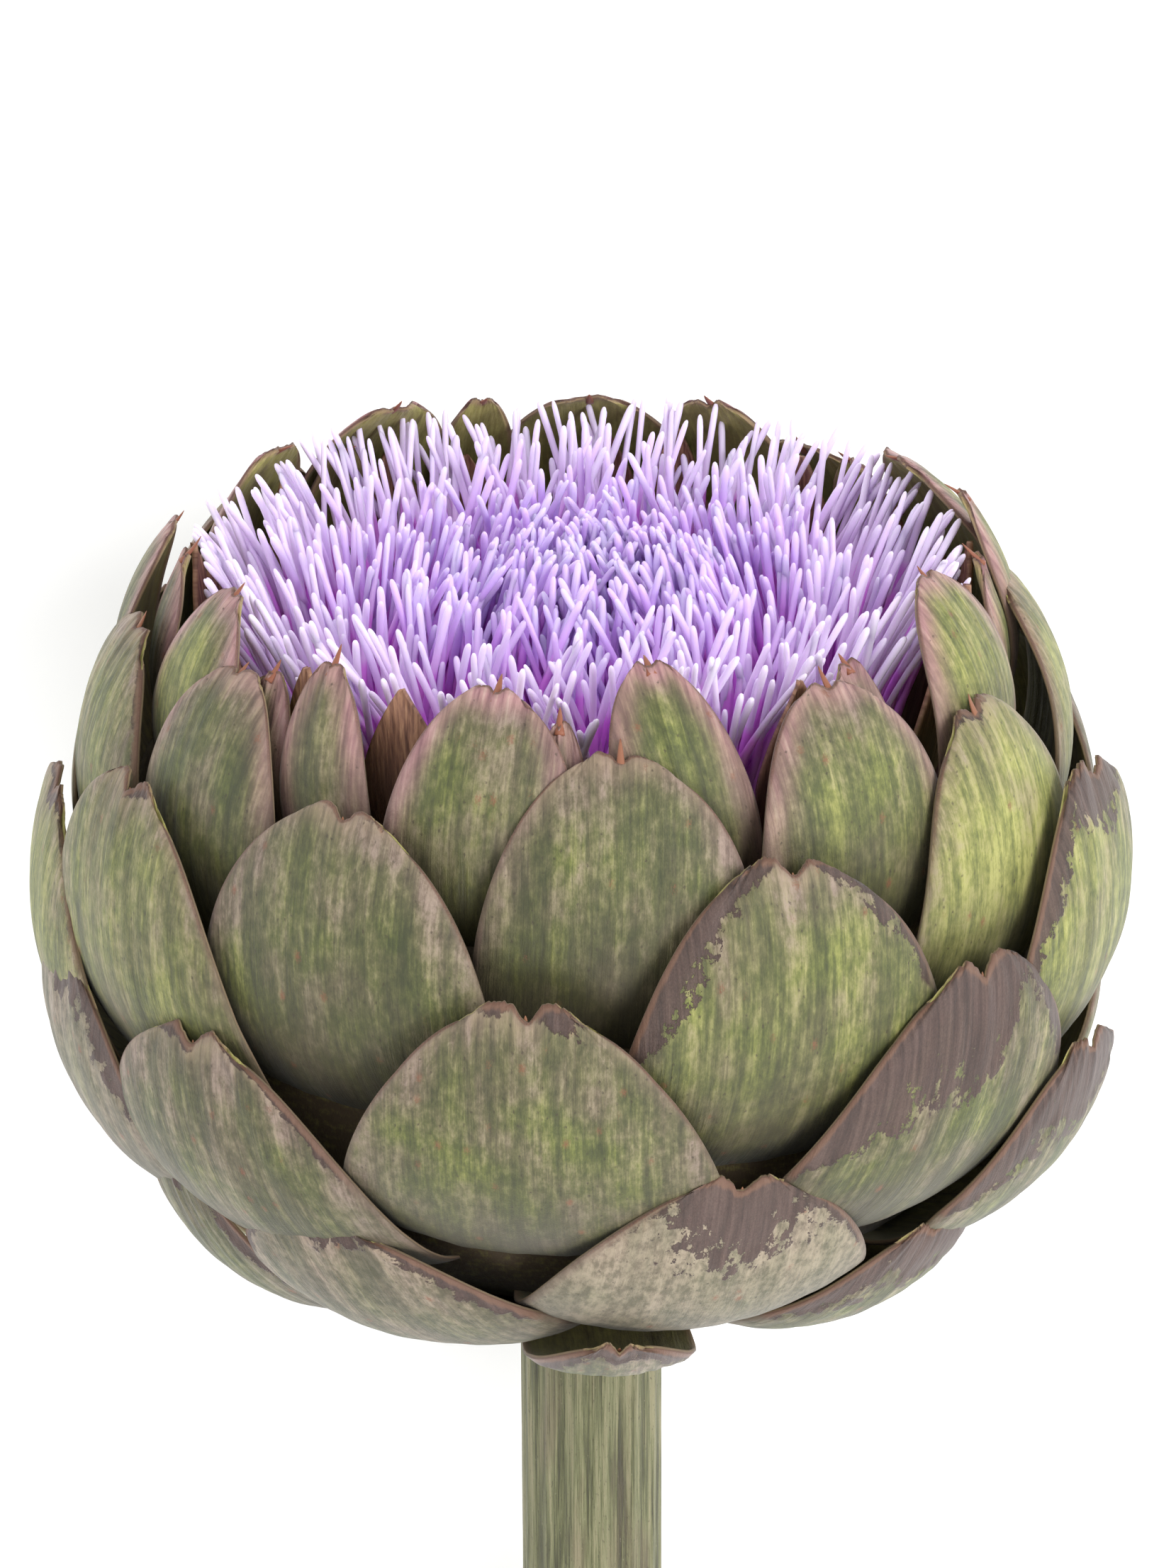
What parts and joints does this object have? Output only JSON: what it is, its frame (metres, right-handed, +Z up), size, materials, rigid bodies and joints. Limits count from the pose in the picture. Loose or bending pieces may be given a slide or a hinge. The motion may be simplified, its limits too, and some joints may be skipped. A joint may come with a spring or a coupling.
{
  "type": "globe artichoke",
  "caption": "Round thistle-like vegetable head of overlapping pointed-oval green bracts, open at the top round a dense tuft of lilac florets, on a cut ribbed stem.",
  "frame": {"origin": "centre of the footprint on the surface that it lies on, under the whole of head and stem", "axes": "+Z up from the surface; +Y along the stem towards the flower, -Y towards the cut end of the stem; +X to the right seen from above with the flower away from the viewer"},
  "size_m": [0.147, 0.22, 0.1452],
  "materials": {
    "stem": "matte, faintly waxy, ribbed",
    "green_bracts": "matte with a soft bloom, finely streaked along its length",
    "inner_bracts": "dry and papery",
    "florets": "soft, slightly translucent petal"
  },
  "bodies": {
    "root": {"stem": "stem", "green_bracts": "green_bracts", "inner_bracts": "inner_bracts", "florets": "florets"}
  },
  "joints": []
}
